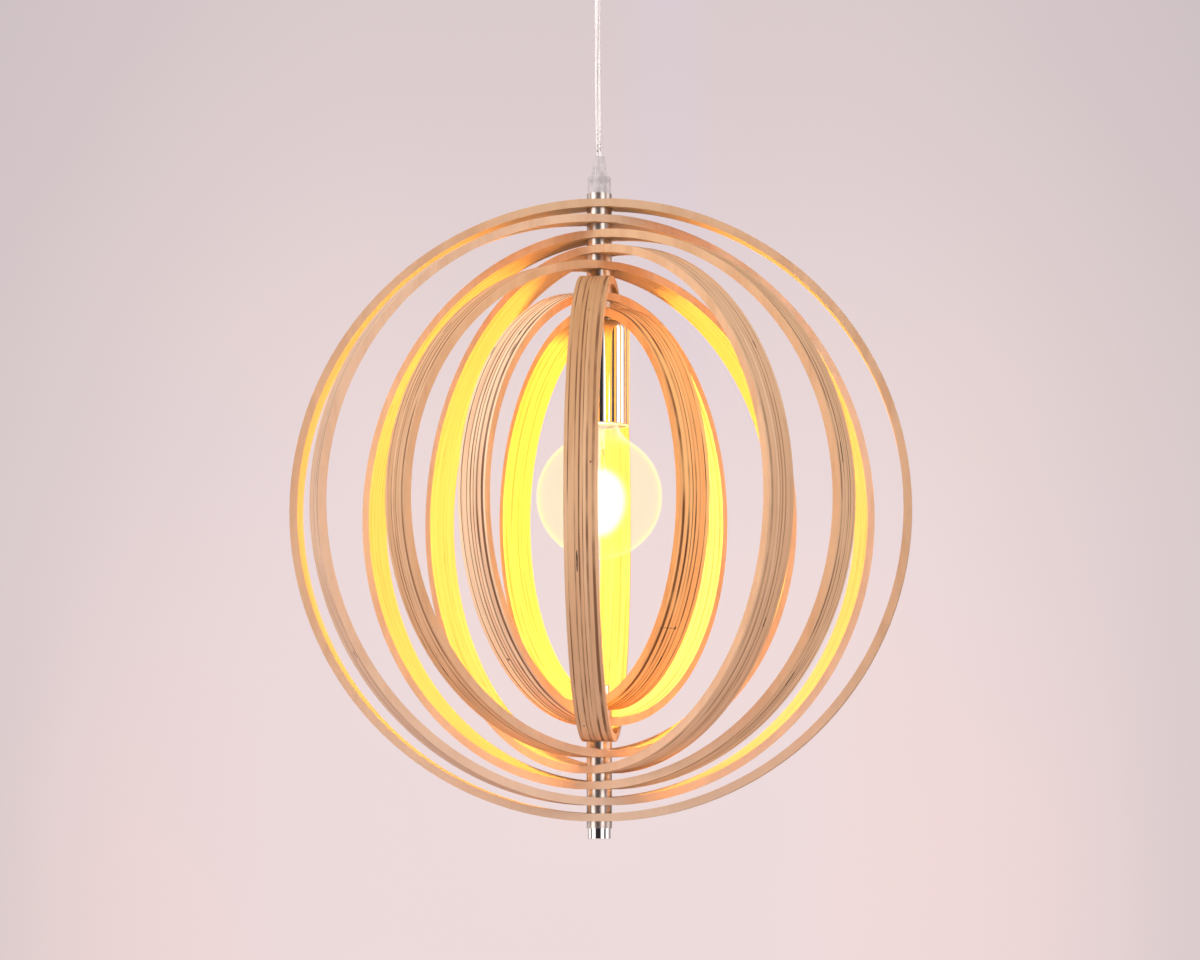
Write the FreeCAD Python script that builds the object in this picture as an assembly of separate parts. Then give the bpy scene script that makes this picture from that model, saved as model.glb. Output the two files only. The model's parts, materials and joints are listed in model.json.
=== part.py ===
import FreeCAD, Part
import math
import os

from FreeCAD import Vector

# A pendant lamp: eight plywood rings, cut one inside the other from one board, turn freely about one
# upright axis round a globe bulb. The rings hang on a hollow threaded stem at the top, with a turned
# spacer between each two, and a bolt with the same spacers joins them at the bottom. The stem also
# carries the lampholder and hangs by a clear cable from a ceiling canopy.
# Frame: origin at the ceiling, on the lamp's axis. +Z is up, -Y is the front. Lengths are in mm.

# How far a cutter runs past what it cuts
CUT_PAST = 1.0

# Rings
RING_ANGLES = (-5.8, 20.5, -31.8, -49.5, 38.0, 85.6, 56.0, -63.2)  # degrees about Z, outermost first
OUTER_RING_RADIUS = 235.0
RING_WALL = 6.2
RING_GAP = 5.7
BOARD_THICKNESS = 24.0

# Seats and bores at the rings' two poles
SPACER_RADIUS = 9.5
SEAT_MARGIN = 0.4
OUTER_SEAT_DEPTH = 0.35
INNER_SEAT_DEPTH = 0.05
SEAT_PLAY = 0.05
RUNNING_FIT = 0.08
SPACER_FIT = 0.1
THREAD_FIT = 0.02

# Upright axis
STEM_RADIUS = 5.0
STEM_BORE_RADIUS = 4.0
STEM_IN_GRIP = 7.2
STEM_IN_SOCKET = 8.0
COLLAR_HEIGHT = 5.3
SPINDLE_RADIUS = 3.0
SPINDLE_END_MARGIN = 2.2
LOWER_NUT_RADIUS = 8.6
LOWER_NUT_HEIGHT = 8.0
INNER_NUT_RADIUS = 7.9
INNER_NUT_HEIGHT = 12.5
NUT_EASE = 0.6

# Cable and its clear grips
CABLE_RADIUS = 3.1
CABLE_FREE_LENGTH = 156.0
CABLE_LEAN = 3.2
CABLE_LEAN_AT = 120.7
CABLE_FIT = 0.15
GRIP_RADIUS = 8.65
GRIP_BODY_HEIGHT = 10.4
GRIP_FLANGE_HEIGHT = 4.2
GRIP_NECK_RADIUS = 6.0
GRIP_NECK_HEIGHT = 2.6
GRIP_CAP_HEIGHT = 3.2
GRIP_CAP_EASE = 1.0
NOZZLE_BASE_RADIUS = 6.2
NOZZLE_STEP_RADIUS = 5.2
NOZZLE_TIP_RADIUS = 4.2
NOZZLE_HEIGHT = 15.1
RIB_COUNT = 12
RIB_DEPTH = 0.6
RIB_HEIGHT = 6.2
COLLET_RADIUS = 4.5
COLLET_FIT = 0.1
COLLET_LENGTH = 5.4
COLLET_SLOT = 0.8

# Ceiling canopy
CANOPY_RADIUS = 50.0
CANOPY_HEIGHT = 25.0
CANOPY_WALL = 1.0
CANOPY_EASE = 0.8
CROSSBAR_WIDTH = 18.0
CROSSBAR_THICKNESS = 1.6
CROSSBAR_BEND = 2.5
CROSSBAR_TAB = 13.0
CROSSBAR_CLEARANCE = 0.2
SLOT_SPACING = 60.0
SLOT_LENGTH = 12.0
SLOT_WIDTH = 4.5
CANOPY_SCREW_RADIUS = 2.0
CANOPY_SCREW_DROP = 8.0
CANOPY_SCREW_LENGTH = 9.0
CANOPY_SCREW_FIT = 0.25
THUMB_HEAD_RADIUS = 4.0
THUMB_HEAD_LENGTH = 4.5
GRIP_NUT_RADIUS = 8.0
GRIP_NUT_HEIGHT = 3.0
NIPPLE_HEIGHT = 4.0

# Terminal block and leads
POLE_COUNT = 3
POLE_PITCH = 8.0
BLOCK_DEPTH = 9.0
BLOCK_HEIGHT = 11.0
BLOCK_NECK = 2.0
CLAMP_WIDTH = 4.0
CLAMP_BORE = 2.4
CLAMP_INSET = 1.5
CLAMP_SCREW_RADIUS = 1.2
LEAD_RADIUS = 1.1
LEAD_CIRCLE = 1.8
LEAD_IN_CLAMP = 4.0
CABLE_IN_CANOPY = 5.5

# Lampholder
HOLDER_NUT_RADIUS = 9.0
HOLDER_NUT_HEIGHT = 3.4
CUP_RADIUS = 23.0
CUP_LENGTH = 80.0
CUP_WALL = 0.8
CUP_DOME_RADIUS = 7.0
CUP_LIP = 1.8
SOCKET_RADIUS = 19.0
SOCKET_CAP_HEIGHT = 20.0
SOCKET_CAP_WALL = 2.0
SOCKET_BOSS_RADIUS = 8.6
SOCKET_BOSS_HEIGHT = 4.0
SOCKET_THREAD_DEPTH = 7.0
SOCKET_SHOULDER = 6.0
SOCKET_LENGTH = 47.0
SOCKET_FLOOR = 18.0
SHELL_WALL = 0.4
SHELL_LENGTH = 26.0
SHELL_FIT = 0.3
CONTACT_WIDTH = 6.0
CONTACT_THICKNESS = 0.5
CONTACT_DROP = 3.5
CONTACT_REACH = 8.0
LEAD_IN_SOCKET = 9.0
CABLE_IN_SOCKET = 4.0

# Bulb
GLOBE_RADIUS = 47.5
GLASS_WALL = 1.0
NECK_RADIUS = 12.4
NECK_FILLET = 27.0
BULB_TIP_TO_CENTRE = 90.7
BULB_PLAY = 0.1
CAP_RADIUS = 13.1
CAP_WALL = 0.4
CAP_LENGTH = 23.0
INSULATOR_HEIGHT = 3.6
TIP_RADIUS = 4.8
TIP_HEIGHT = 1.4
GLASS_IN_CAP = 4.0
FLARE_DROP = 16.0
MOUNT_RADIUS = 4.0
MOUNT_LENGTH = 14.0
MOUNT_ROD_RADIUS = 1.4
MOUNT_ROD_LENGTH = 13.0
BUTTON_RADIUS = 2.4
FILAMENT_CIRCLE = 13.0
FILAMENT_RADIUS = 0.8
FILAMENT_HEIGHT = 6.0
FILAMENT_ARC = 300.0
FILAMENT_SPANS = 5
WIRE_RADIUS = 0.4
TOUCH_GAP = 0.05


# Places along the axis, worked down from the ceiling
def ring_radius(index):
    return OUTER_RING_RADIUS - index * (RING_WALL + RING_GAP)


def outer_seat(index):
    """Height of the flat on the outside of a ring's pole, above the rings' centre."""
    return ring_radius(index) - OUTER_SEAT_DEPTH


def inner_seat(index):
    """Height of the flat on the inside of a ring's pole, above the rings' centre."""
    return ring_radius(index) - RING_WALL + INNER_SEAT_DEPTH


LAST_RING = len(RING_ANGLES) - 1
GRIP_TIP = GRIP_CAP_HEIGHT + NOZZLE_HEIGHT
UPPER_CABLE_END = -CANOPY_HEIGHT - GRIP_FLANGE_HEIGHT - GRIP_TIP
LOWER_CABLE_END = UPPER_CABLE_END - CABLE_FREE_LENGTH
GRIP_BASE = LOWER_CABLE_END - GRIP_TIP - GRIP_BODY_HEIGHT
COLLAR_BASE = GRIP_BASE - COLLAR_HEIGHT
CENTRE = COLLAR_BASE - SEAT_PLAY - outer_seat(0)

HOLDER_TOP = CENTRE + inner_seat(LAST_RING) - SEAT_PLAY
CUP_TOP = HOLDER_TOP - HOLDER_NUT_HEIGHT
SOCKET_TOP = CUP_TOP - CUP_WALL
SOCKET_BODY_TOP = SOCKET_TOP - SOCKET_CAP_HEIGHT
SOCKET_SEAT = SOCKET_BODY_TOP - SOCKET_FLOOR
BULB_TIP = SOCKET_SEAT - CONTACT_DROP - BULB_PLAY
GLOBE_CENTRE = BULB_TIP - BULB_TIP_TO_CENTRE
CAP_TOP = BULB_TIP - TIP_HEIGHT - INSULATOR_HEIGHT
CAP_MOUTH = CAP_TOP - CAP_LENGTH

LOWER_COLLAR_TOP = CENTRE - outer_seat(0) - SEAT_PLAY
LOWER_NUT_TOP = LOWER_COLLAR_TOP - COLLAR_HEIGHT
LOWER_NUT_BASE = LOWER_NUT_TOP - LOWER_NUT_HEIGHT
INNER_NUT_BASE = CENTRE - inner_seat(LAST_RING) + SEAT_PLAY
INNER_NUT_TOP = INNER_NUT_BASE + INNER_NUT_HEIGHT


# Shapes that many pieces use
def rod(radius, low, high):
    return Part.makeCylinder(radius, high - low, Vector(0, 0, low))


def tube(outer, inner, low, high):
    return rod(outer, low, high).cut(rod(inner, low - CUT_PAST, high + CUT_PAST))


def box(width, depth, low, high, x=0, y=0):
    """An upright box centred on (x, y)."""
    return Part.makeBox(width, depth, high - low, Vector(x - width / 2, y - depth / 2, low))


def turned(start, *steps):
    """A solid turned about Z. The outline is (radius, height) points: two numbers are the end of a
    straight line, four are a point on an arc and the arc's end. It closes back to its start."""
    here = start
    edges = []
    for step in steps + (start,):
        first = Vector(here[0], 0, here[1])
        last = Vector(step[-2], 0, step[-1])
        if len(step) == 4:
            edges.append(Part.Arc(first, Vector(step[0], 0, step[1]), last).toShape())
        else:
            edges.append(Part.makeLine(first, last))
        here = step[-2:]
    solid = Part.Face(Part.Wire(edges)).revolve(Vector(0, 0, 0), Vector(0, 0, 1), 360)
    if solid.Volume < 0:
        solid.reverse()
    return solid


def quarter(centre, radius, degrees):
    """The point of a circle in the (radius, height) plane, for the middle of a turned arc."""
    angle = math.radians(degrees)
    return centre[0] + radius * math.cos(angle), centre[1] + radius * math.sin(angle)


def followed(centre, radius, first, last, steps):
    """Points that follow an arc of the (radius, height) plane, for a curve that the product hides."""
    step = (last - first) / steps
    return [quarter(centre, radius, first + step * count) for count in range(steps + 1)]


def spun(shape, degrees):
    copy = shape.copy()
    copy.rotate(Vector(0, 0, 0), Vector(0, 0, 1), degrees)
    return copy


def lifted(shape, height):
    copy = shape.copy()
    copy.translate(Vector(0, 0, height))
    return copy


def sideways(shape, x):
    copy = shape.copy()
    copy.translate(Vector(x, 0, 0))
    return copy


def upside_down(shape):
    copy = shape.copy()
    copy.rotate(Vector(0, 0, 0), Vector(1, 0, 0), 180)
    return copy


def wire_between(first, last, radius):
    return Part.makeCylinder(radius, (last - first).Length, first, last - first)


def hexagon_nut(flat_radius, bore, low, high):
    corner = flat_radius / math.cos(math.pi / 6)
    corners = [
        Vector(corner * math.cos(math.radians(60 * side)), corner * math.sin(math.radians(60 * side)), low)
        for side in range(7)
    ]
    prism = Part.Face(Part.makePolygon(corners)).extrude(Vector(0, 0, high - low))
    return prism.cut(rod(bore, low - CUT_PAST, high + CUT_PAST))


# Rings
def ring(index):
    """One ring: a band of the board, bored and faced flat at both poles for its spacers."""
    outer = ring_radius(index)
    half = BOARD_THICKNESS / 2
    band = tube(outer, outer - RING_WALL, -half, half)
    band.rotate(Vector(0, 0, 0), Vector(1, 0, 0), 90)
    upper = pole_cut(index, STEM_RADIUS)
    lower = upside_down(pole_cut(index, SPINDLE_RADIUS))
    band = band.cut(upper.fuse(lower))
    return lifted(spun(band, RING_ANGLES[index]), CENTRE)


def pole_cut(index, shaft_radius):
    """What is taken out of a ring's pole: the shaft's bore and a flat seat across either side."""
    seat = 2 * (SPACER_RADIUS + SEAT_MARGIN)
    across_board = BOARD_THICKNESS + 2 * CUT_PAST
    bore = rod(shaft_radius + RUNNING_FIT, inner_seat(index) - CUT_PAST, outer_seat(index) + CUT_PAST)
    inside = box(seat, across_board, inner_seat(index) - CUT_PAST, inner_seat(index))
    outside = box(2 * seat, across_board, outer_seat(index), outer_seat(index) + CUT_PAST)
    return bore.fuse([inside, outside])


def top_spacer(index):
    low = CENTRE + outer_seat(index + 1) + SEAT_PLAY
    high = CENTRE + inner_seat(index) - SEAT_PLAY
    return tube(SPACER_RADIUS, STEM_RADIUS + SPACER_FIT, low, high)


def bottom_spacer(index):
    low = CENTRE - inner_seat(index) + SEAT_PLAY
    high = CENTRE - outer_seat(index + 1) - SEAT_PLAY
    return tube(SPACER_RADIUS, SPINDLE_RADIUS + SPACER_FIT, low, high)


# Upright axis
def stem():
    return tube(STEM_RADIUS, STEM_BORE_RADIUS, SOCKET_TOP - STEM_IN_SOCKET, GRIP_BASE + STEM_IN_GRIP)


def top_collar():
    return tube(SPACER_RADIUS, STEM_RADIUS + THREAD_FIT, COLLAR_BASE, GRIP_BASE)


def spindle():
    return rod(SPINDLE_RADIUS, LOWER_NUT_BASE + SPINDLE_END_MARGIN, INNER_NUT_TOP - SPINDLE_END_MARGIN)


def bottom_collar():
    return tube(SPACER_RADIUS, SPINDLE_RADIUS + THREAD_FIT, LOWER_NUT_TOP, LOWER_COLLAR_TOP)


def cap_nut(radius, height):
    """A round cap nut with its open end at height 0 and its closed end up."""
    bore = SPINDLE_RADIUS + THREAD_FIT
    blind = height - SPINDLE_END_MARGIN + SEAT_PLAY
    return turned(
        (bore, 0),
        (radius, 0),
        (radius, height - NUT_EASE),
        (radius - NUT_EASE, height),
        (0, height),
        (0, blind),
        (bore, blind),
    )


def lower_cap_nut():
    return lifted(upside_down(cap_nut(LOWER_NUT_RADIUS, LOWER_NUT_HEIGHT)), LOWER_NUT_TOP)


def inner_cap_nut():
    return lifted(cap_nut(INNER_NUT_RADIUS, INNER_NUT_HEIGHT), INNER_NUT_BASE)


# Cable grips
def grip_neck(base):
    """The outline of a grip's threaded neck and collet seat, from the shoulder at base inwards."""
    top = base + GRIP_NECK_HEIGHT
    seat = COLLET_RADIUS + COLLET_FIT
    return (GRIP_NECK_RADIUS, base), (GRIP_NECK_RADIUS, top), (seat, top)


def grip_body():
    """The clear body that screws on the stem's top end, with its base at height 0."""
    stem_bore = STEM_RADIUS + THREAD_FIT
    ledge = STEM_IN_GRIP + SEAT_PLAY
    seat = COLLET_RADIUS + COLLET_FIT
    body = turned(
        (stem_bore, 0),
        (GRIP_RADIUS, 0),
        (GRIP_RADIUS, GRIP_BODY_HEIGHT),
        *grip_neck(GRIP_BODY_HEIGHT),
        (seat, ledge),
        (stem_bore, ledge),
    )
    return lifted(body, GRIP_BASE)


def ribbed(base_radius, top_radius, height):
    """A tapered block with flat-sided ribs all round, standing on height 0."""
    outlines = []
    for crest, level in ((base_radius, 0), (top_radius, height)):
        corners = []
        for count in range(RIB_COUNT):
            for drop, turn in ((0, -0.25), (0, 0.25), (RIB_DEPTH, 0.25), (RIB_DEPTH, 0.75)):
                radius = crest - drop
                angle = 2 * math.pi * (count + turn) / RIB_COUNT
                corners.append(Vector(radius * math.cos(angle), radius * math.sin(angle), level))
        outlines.append(Part.makePolygon(corners + corners[:1]))
    return Part.makeLoft(outlines, True, True)


def grip_cap():
    """The screwed cap with its nozzle, ribbed up to a step, seat at height 0 and nozzle up."""
    counterbore = GRIP_NECK_RADIUS + THREAD_FIT
    cable_bore = CABLE_RADIUS + CABLE_FIT
    ledge = GRIP_NECK_HEIGHT + SEAT_PLAY
    step = GRIP_CAP_HEIGHT + RIB_HEIGHT
    cap = turned(
        (cable_bore, 0),
        (GRIP_RADIUS, 0),
        (GRIP_RADIUS, GRIP_CAP_HEIGHT - GRIP_CAP_EASE),
        (GRIP_RADIUS - GRIP_CAP_EASE, GRIP_CAP_HEIGHT),
        (cable_bore, GRIP_CAP_HEIGHT),
    )
    nozzle = turned(
        (cable_bore, step),
        (NOZZLE_STEP_RADIUS, step),
        (NOZZLE_TIP_RADIUS, GRIP_TIP),
        (cable_bore, GRIP_TIP),
    )
    ribs = ribbed(NOZZLE_BASE_RADIUS, NOZZLE_STEP_RADIUS, RIB_HEIGHT)
    ribs = ribs.cut(rod(cable_bore, -CUT_PAST, RIB_HEIGHT + CUT_PAST))
    cap = cap.fuse([nozzle, lifted(ribs, GRIP_CAP_HEIGHT)]).removeSplitter()
    return cap.cut(rod(counterbore, -CUT_PAST, ledge))


def collet(top):
    """The slotted ring that the cap closes on the cable. Its top end is at the height given."""
    base = top - COLLET_LENGTH
    slot = box(COLLET_RADIUS, COLLET_SLOT, base - CUT_PAST, top + CUT_PAST, COLLET_RADIUS / 2)
    return tube(COLLET_RADIUS, CABLE_RADIUS + TOUCH_GAP, base, top).cut(slot)


def lower_grip_cap():
    return lifted(grip_cap(), GRIP_BASE + GRIP_BODY_HEIGHT)


def lower_collet():
    return lifted(collet(GRIP_NECK_HEIGHT), GRIP_BASE + GRIP_BODY_HEIGHT)


def canopy_grip_body():
    """The flange under the canopy with a nipple up through it and the cap's neck below."""
    seat = COLLET_RADIUS + COLLET_FIT
    cable_bore = CABLE_RADIUS + CABLE_FIT
    nipple_top = -GRIP_FLANGE_HEIGHT - CANOPY_WALL - NIPPLE_HEIGHT
    body = turned(
        (cable_bore, nipple_top),
        (STEM_RADIUS, nipple_top),
        (STEM_RADIUS, -GRIP_FLANGE_HEIGHT),
        (GRIP_RADIUS, -GRIP_FLANGE_HEIGHT),
        (GRIP_RADIUS, 0),
        *grip_neck(0),
        (seat, GRIP_NECK_HEIGHT - COLLET_LENGTH - SEAT_PLAY),
        (cable_bore, GRIP_NECK_HEIGHT - COLLET_LENGTH - SEAT_PLAY),
    )
    return lifted(upside_down(body), -CANOPY_HEIGHT - GRIP_FLANGE_HEIGHT)


def canopy_grip_cap():
    return lifted(upside_down(grip_cap()), -CANOPY_HEIGHT - GRIP_FLANGE_HEIGHT)


def canopy_collet():
    return lifted(upside_down(collet(GRIP_NECK_HEIGHT)), -CANOPY_HEIGHT - GRIP_FLANGE_HEIGHT)


def canopy_grip_nut():
    floor = CANOPY_WALL - CANOPY_HEIGHT
    return hexagon_nut(GRIP_NUT_RADIUS, STEM_RADIUS + THREAD_FIT, floor, floor + GRIP_NUT_HEIGHT)


# Cable
def cable_route():
    """The free cable's corners: it leans as it rises and comes back over the canopy's axis."""
    return [
        Vector(0, 0, LOWER_CABLE_END),
        Vector(-CABLE_LEAN, 0, LOWER_CABLE_END + CABLE_LEAN_AT),
        Vector(0, 0, UPPER_CABLE_END),
    ]


def rounded_route(points):
    """A wire of straight runs joined by tangent arcs, and the arcs' radii."""
    edges = []
    radii = []
    here = points[0]
    for before, corner, after in zip(points, points[1:], points[2:]):
        arrive = (corner - before).normalize()
        leave = (after - corner).normalize()
        turn = arrive.getAngle(leave)
        cut = 0.45 * min((corner - before).Length, (after - corner).Length)
        radius = cut / math.tan(turn / 2)
        start = corner - arrive * cut
        end = corner + leave * cut
        inward = (leave - arrive).normalize()
        middle = corner + inward * (radius / math.cos(turn / 2) - radius)
        edges.append(Part.makeLine(here, start))
        edges.append(Part.Arc(start, middle, end).toShape())
        radii.append(radius)
        here = end
    edges.append(Part.makeLine(here, points[-1]))
    return Part.Wire(edges), radii


def cable():
    """The free stretch, swept a little past both ends and cut square to the grips."""
    route = cable_route()
    over = CABLE_RADIUS
    first = (route[1] - route[0]).normalize()
    last = (route[-1] - route[-2]).normalize()
    longer = [route[0] - first * over] + route[1:-1] + [route[-1] + last * over]
    path, radii = rounded_route(longer)
    section = Part.Wire(Part.makeCircle(CABLE_RADIUS, longer[0], first))
    swept = path.makePipeShell([section], True, False)
    length = rounded_route(route)[0].Length
    between = rod(CANOPY_RADIUS, LOWER_CABLE_END, UPPER_CABLE_END)
    free = swept.common(between)
    share = free.Volume / (math.pi * CABLE_RADIUS**2 * length)
    print("free cable %.1f mm long, arc radii %s mm, volume over section times length %.4f"
          % (length, [round(radius, 1) for radius in radii], share))
    return free


def cable_in_lamp():
    """The cable's end inside the lower grip and the stem."""
    return rod(CABLE_RADIUS, SOCKET_TOP - STEM_IN_SOCKET - CABLE_IN_SOCKET, LOWER_CABLE_END)


def cable_in_canopy():
    """The cable's end inside the upper grip and the canopy."""
    return rod(CABLE_RADIUS, UPPER_CABLE_END, CABLE_IN_CANOPY - CANOPY_HEIGHT)


# Ceiling canopy
def crossbar_reach():
    """How far from the axis the crossbar's tabs stand, so that their corners clear the canopy's wall."""
    inside = CANOPY_RADIUS - CANOPY_WALL
    return math.sqrt(inside**2 - (CROSSBAR_WIDTH / 2) ** 2) - CROSSBAR_CLEARANCE


def canopy():
    """The steel cup that covers the ceiling connection, with a hole for each thumbscrew."""
    hole = STEM_RADIUS + THREAD_FIT
    shell = turned(
        (hole, -CANOPY_HEIGHT),
        (CANOPY_RADIUS - CANOPY_EASE, -CANOPY_HEIGHT),
        (CANOPY_RADIUS, CANOPY_EASE - CANOPY_HEIGHT),
        (CANOPY_RADIUS, 0),
        (CANOPY_RADIUS - CANOPY_WALL, 0),
        (CANOPY_RADIUS - CANOPY_WALL, CANOPY_WALL - CANOPY_HEIGHT),
        (hole, CANOPY_WALL - CANOPY_HEIGHT),
    )
    reach = CANOPY_RADIUS + CUT_PAST
    return shell.cut(across(CANOPY_SCREW_RADIUS + CANOPY_SCREW_FIT, -reach, reach))


def across(radius, left, right):
    """A round bar along X at the thumbscrews' height."""
    return Part.makeCylinder(radius, right - left, Vector(left, 0, -CANOPY_SCREW_DROP), Vector(1, 0, 0))


def crossbar():
    """The bent steel strip on the ceiling: two slots for the ceiling screws, two threaded tabs."""
    reach = crossbar_reach()
    bend = reach - CROSSBAR_BEND
    inner_bend = CROSSBAR_BEND - CROSSBAR_THICKNESS
    tab_inside = reach - CROSSBAR_THICKNESS
    half_outline = [
        (bend, 0),
        quarter((bend, -CROSSBAR_BEND), CROSSBAR_BEND, 45) + (reach, -CROSSBAR_BEND),
        (reach, -CROSSBAR_TAB),
        (tab_inside, -CROSSBAR_TAB),
        (tab_inside, -CROSSBAR_BEND),
        quarter((bend, -CROSSBAR_BEND), inner_bend, 45) + (bend, -CROSSBAR_THICKNESS),
    ]
    half = extruded([(0, 0)] + half_outline + [(0, -CROSSBAR_THICKNESS)], CROSSBAR_WIDTH)
    bar = half.fuse(spun(half, 180)).removeSplitter()
    for side in (-1, 1):
        bar = bar.cut(slot_at(side * SLOT_SPACING / 2))
    return bar.cut(across(CANOPY_SCREW_RADIUS + THREAD_FIT, -CANOPY_RADIUS, CANOPY_RADIUS))


def extruded(outline, width):
    """A strip of the given width along Y whose side is an outline in (x, z), arcs as in turned()."""
    here = outline[0]
    edges = []
    for step in outline[1:] + [outline[0]]:
        first = Vector(here[0], -width / 2, here[1])
        last = Vector(step[-2], -width / 2, step[-1])
        if len(step) == 4:
            edges.append(Part.Arc(first, Vector(step[0], -width / 2, step[1]), last).toShape())
        else:
            edges.append(Part.makeLine(first, last))
        here = step[-2:]
    return Part.Face(Part.Wire(edges)).extrude(Vector(0, width, 0))


def slot_at(x):
    """A slot's cutter with round ends, centred at x and running along X."""
    reach = (SLOT_LENGTH - SLOT_WIDTH) / 2
    low = -CROSSBAR_THICKNESS * 2
    high = CROSSBAR_THICKNESS
    end = rod(SLOT_WIDTH / 2, low, high)
    middle = box(2 * reach, SLOT_WIDTH, low, high, x)
    return middle.fuse([sideways(end, x - reach), sideways(end, x + reach)])


def thumbscrew():
    """The right-hand screw through the canopy's side into the crossbar's tab."""
    head_at = CANOPY_RADIUS + SEAT_PLAY
    shank = across(CANOPY_SCREW_RADIUS, head_at - CANOPY_SCREW_LENGTH, head_at)
    head = across(THUMB_HEAD_RADIUS, head_at, head_at + THUMB_HEAD_LENGTH)
    return shank.fuse(head).removeSplitter()


def thumbscrews():
    right = thumbscrew()
    return Part.makeCompound([right, spun(right, 180)])


# Terminal block and leads
def pole_places():
    return [(count - (POLE_COUNT - 1) / 2) * POLE_PITCH for count in range(POLE_COUNT)]


def block_top():
    return -CROSSBAR_THICKNESS - SEAT_PLAY


def terminal_block():
    """Towers joined by a narrow web, with a square bore for each brass clamp, under the crossbar."""
    top = block_top()
    base = top - BLOCK_HEIGHT
    towers = [box(POLE_PITCH - BLOCK_NECK, BLOCK_DEPTH, base, top, x) for x in pole_places()]
    web = box(pole_places()[-1] - pole_places()[0], BLOCK_NECK, base, top)
    block = web.fuse(towers)
    bores = [box(CLAMP_WIDTH, CLAMP_WIDTH, base - CUT_PAST, top - CLAMP_INSET, x) for x in pole_places()]
    drills = clamp_bars(CLAMP_SCREW_RADIUS + THREAD_FIT, 0)
    return block.cut(Part.makeCompound(bores + drills)).removeSplitter()


def clamp_bars(radius, back):
    """Round bars along Y from the block's front to the back given, one on each pole."""
    height = block_top() - BLOCK_HEIGHT + CLAMP_INSET + LEAD_IN_CLAMP / 2
    front = -BLOCK_DEPTH / 2
    return [
        Part.makeCylinder(radius, back - front, Vector(x, front, height), Vector(0, 1, 0))
        for x in pole_places()
    ]


def terminal_clamps():
    """A square brass tube in each pole, drilled for its screw."""
    low = block_top() - BLOCK_HEIGHT + CLAMP_INSET
    high = block_top() - CLAMP_INSET
    width = CLAMP_WIDTH - 2 * THREAD_FIT
    drills = Part.makeCompound(clamp_bars(CLAMP_SCREW_RADIUS + THREAD_FIT, 0))
    clamps = []
    for x in pole_places():
        bore = box(CLAMP_BORE, CLAMP_BORE, low - CUT_PAST, high + CUT_PAST, x)
        clamps.append(box(width, width, low, high, x).cut(bore).cut(drills))
    return Part.makeCompound(clamps)


def terminal_screws():
    """A screw in each pole that stops on its lead."""
    return Part.makeCompound(clamp_bars(CLAMP_SCREW_RADIUS, -LEAD_RADIUS - TOUCH_GAP))


def lead_place(count):
    """Where a lead leaves the cable: evenly round the axis."""
    angle = math.radians(210 - 120 * count)
    return Vector(LEAD_CIRCLE * math.cos(angle), LEAD_CIRCLE * math.sin(angle), 0)


def canopy_leads():
    """Insulated leads that rise out of the cable's end and spread into the clamps."""
    entry = block_top() - BLOCK_HEIGHT
    leads = []
    for count, x in enumerate(pole_places()):
        start = lead_place(count) + Vector(0, 0, CABLE_IN_CANOPY - CANOPY_HEIGHT)
        route = [
            start,
            start + Vector(0, 0, LEAD_RADIUS),
            Vector(x, 0, entry),
            Vector(x, 0, entry + CLAMP_INSET + LEAD_IN_CLAMP),
        ]
        leads.append(bent_wire(route, LEAD_RADIUS))
    return Part.makeCompound(leads)


def bent_wire(route, radius):
    """A round wire along straight runs with mitred corners."""
    path = Part.makePolygon(route)
    section = Part.Wire(Part.makeCircle(radius, route[0], route[1] - route[0]))
    return path.makePipeShell([section], True, False, 1)


# Lampholder
def holder_nut():
    return tube(HOLDER_NUT_RADIUS, STEM_RADIUS + THREAD_FIT, CUP_TOP, HOLDER_TOP)


def lampholder_cup():
    """The deep drawn cup: a round shoulder, a straight wall and a rim turned in to a small lip."""
    hole = STEM_RADIUS + THREAD_FIT
    inside = CUP_RADIUS - CUP_WALL
    shoulder = (CUP_RADIUS - CUP_DOME_RADIUS, CUP_TOP - CUP_DOME_RADIUS)
    rim = CUP_TOP - CUP_LENGTH
    lip = (CUP_RADIUS - CUP_LIP, rim + CUP_LIP)
    return turned(
        (hole, CUP_TOP),
        (shoulder[0], CUP_TOP),
        quarter(shoulder, CUP_DOME_RADIUS, 45) + (CUP_RADIUS, shoulder[1]),
        (CUP_RADIUS, lip[1]),
        quarter(lip, CUP_LIP, -45) + (lip[0], rim),
        (lip[0], rim + CUP_WALL),
        quarter(lip, CUP_LIP - CUP_WALL, -45) + (inside, lip[1]),
        *followed(shoulder, CUP_DOME_RADIUS - CUP_WALL, 0, 90, 3),
        (hole, CUP_TOP - CUP_WALL),
    )


def socket_cap():
    """The insulating cap screwed on the stem inside the cup, hollow for the leads."""
    hole = STEM_RADIUS + THREAD_FIT
    shoulder = SOCKET_TOP - SOCKET_BOSS_HEIGHT
    return turned(
        (hole, SOCKET_TOP),
        (SOCKET_BOSS_RADIUS, SOCKET_TOP),
        (SOCKET_BOSS_RADIUS, shoulder),
        (SOCKET_RADIUS, shoulder - SOCKET_SHOULDER),
        (SOCKET_RADIUS, SOCKET_BODY_TOP),
        (SOCKET_RADIUS - SOCKET_CAP_WALL, SOCKET_BODY_TOP),
        (SOCKET_RADIUS - SOCKET_CAP_WALL, shoulder - SOCKET_SHOULDER - SOCKET_CAP_WALL / 2),
        (SOCKET_BOSS_RADIUS, SOCKET_TOP - SOCKET_THREAD_DEPTH),
        (hole, SOCKET_TOP - SOCKET_THREAD_DEPTH),
    )


def socket_bore():
    return CAP_RADIUS + SHELL_FIT + SHELL_WALL + THREAD_FIT


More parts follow.
